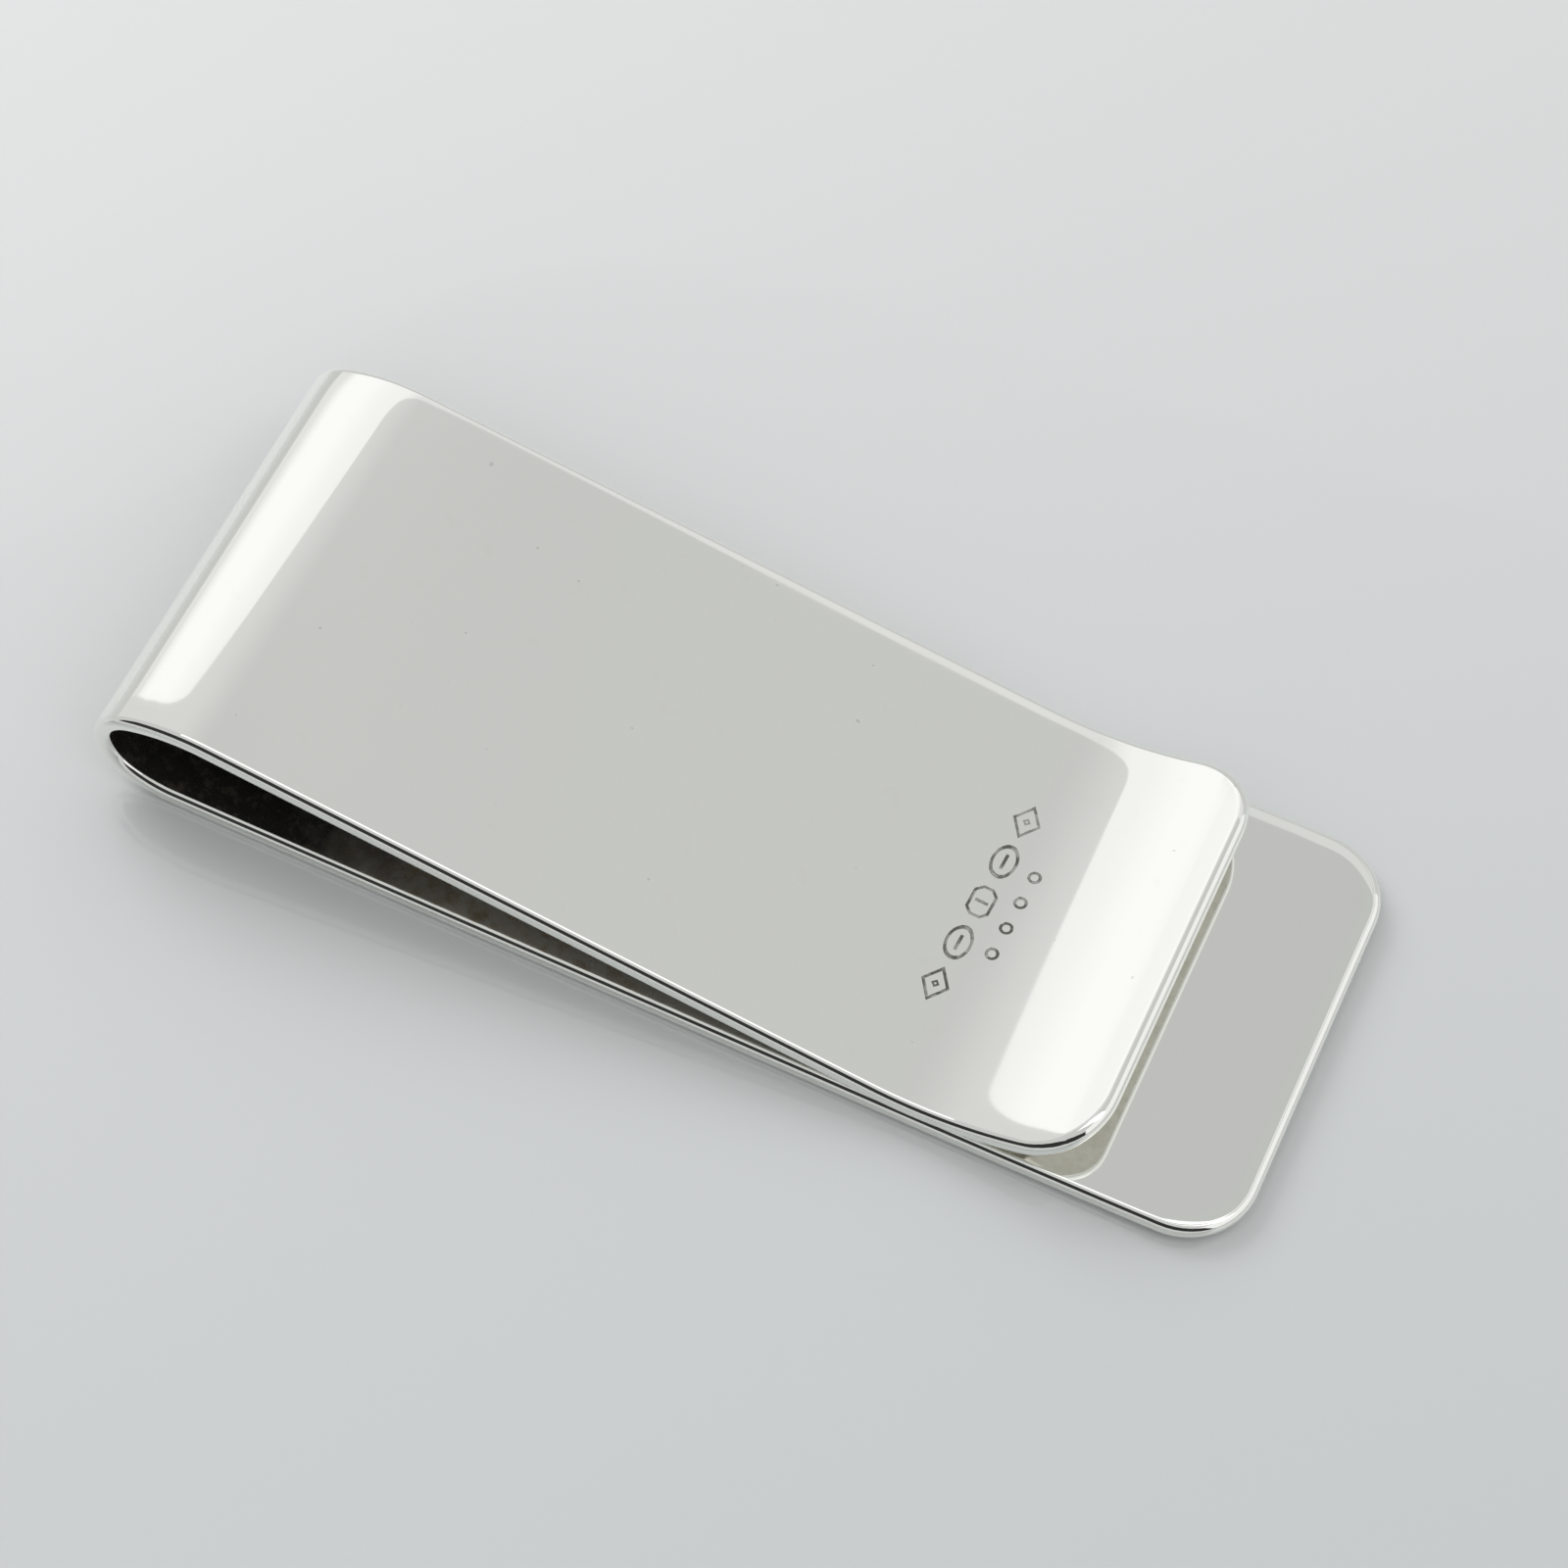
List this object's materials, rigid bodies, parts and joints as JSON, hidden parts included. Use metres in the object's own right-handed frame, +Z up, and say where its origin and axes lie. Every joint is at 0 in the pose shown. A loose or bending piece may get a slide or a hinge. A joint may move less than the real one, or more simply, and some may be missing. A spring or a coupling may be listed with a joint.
{
  "type": "money clip",
  "caption": "Spring money clip folded from a polished sterling silver strip: rolled bend, springy upper leaf with an upturned lip, and a longer lower leaf ending in a tongue.",
  "frame": {"origin": "under the middle of the clip, on the surface it rests on", "axes": "+X along the clip from the bend to the tongue, +Y across the strip, +Z up from the lower leaf to the upper leaf"},
  "size_m": [0.0572, 0.0222, 0.0068],
  "materials": {
    "polished_silver": "sterling silver, polished nearly to a mirror, with fine wear and dark tarnish deep in the fold"
  },
  "bodies": {
    "lower_half": {"lower_leaf": "polished_silver", "lower_bend": "polished_silver"},
    "upper_half": {"upper_bend": "polished_silver", "upper_leaf": "polished_silver", "lip": "polished_silver"}
  },
  "joints": [
    {"name": "spring_open", "type": "hinge", "parent": "lower_half", "child": "upper_half", "pos_m": [-0.02815, 0, 0.0033], "axis": [0, -1, 0], "range_deg": [0, 8], "stiffness_Nm_per_rad": 3.6}
  ]
}
